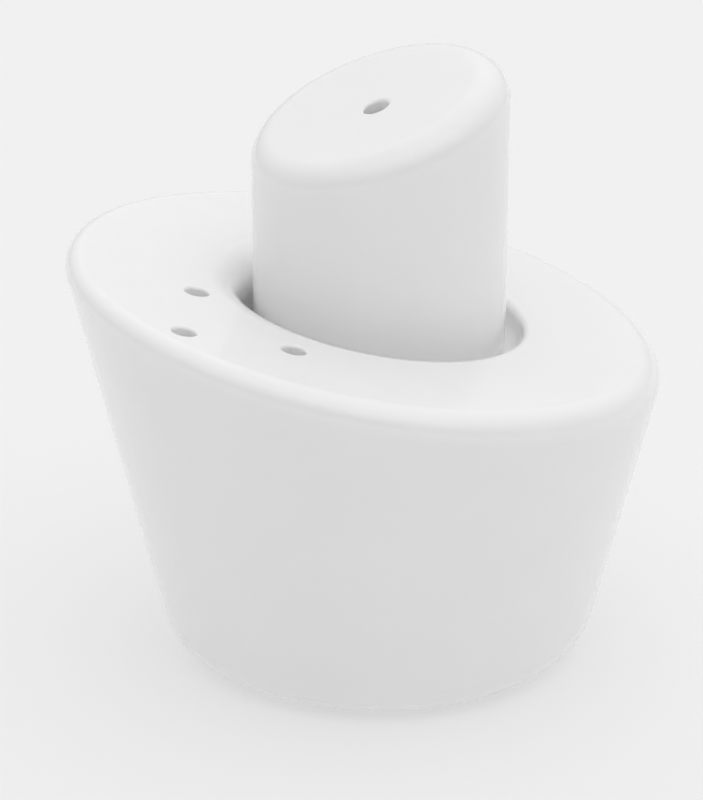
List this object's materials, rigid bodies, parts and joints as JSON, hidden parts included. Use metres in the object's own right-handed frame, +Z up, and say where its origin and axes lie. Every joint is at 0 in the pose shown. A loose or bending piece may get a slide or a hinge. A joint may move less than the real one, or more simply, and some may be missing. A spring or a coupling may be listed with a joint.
{
  "type": "nesting salt and pepper shaker set",
  "caption": "Tapered porcelain shaker with a slanted top and a shallow well in it, holding a second, cylindrical shaker with a steeper slanted top.",
  "frame": {"origin": "middle of the footprint's bounding box, on the plane that the foot ring stands on", "axes": "+Z up along the shakers' common axis, which stands 2.1 mm towards +X of the origin; -X towards the outer top's high side; +Y towards the back, with the three sprinkle holes at -X, -Y"},
  "size_m": [0.0815, 0.0814, 0.0844],
  "materials": {
    "outer_porcelain": "gloss glaze, bare matte foot ring",
    "inner_porcelain": "gloss glaze, bare matte foot ring",
    "outer_silicone": "matte translucent silicone",
    "inner_silicone": "matte translucent silicone"
  },
  "bodies": {
    "outer": {"outer_shaker": "outer_porcelain"},
    "inner": {"inner_shaker": "inner_porcelain"},
    "outer_plug": {"outer_stopper": "outer_silicone"},
    "inner_plug": {"inner_stopper": "inner_silicone"}
  },
  "joints": [
    {"name": "inner_lift", "type": "slide", "parent": "outer", "child": "inner", "axis": [0, 0, 1], "range_m": [0, 0.03]},
    {"name": "outer_stopper_pull", "type": "slide", "parent": "outer", "child": "outer_plug", "axis": [0, 0, -1], "range_m": [0, 0.012]},
    {"name": "inner_stopper_pull", "type": "slide", "parent": "inner", "child": "inner_plug", "axis": [0, 0, -1], "range_m": [0, 0.0043]}
  ]
}
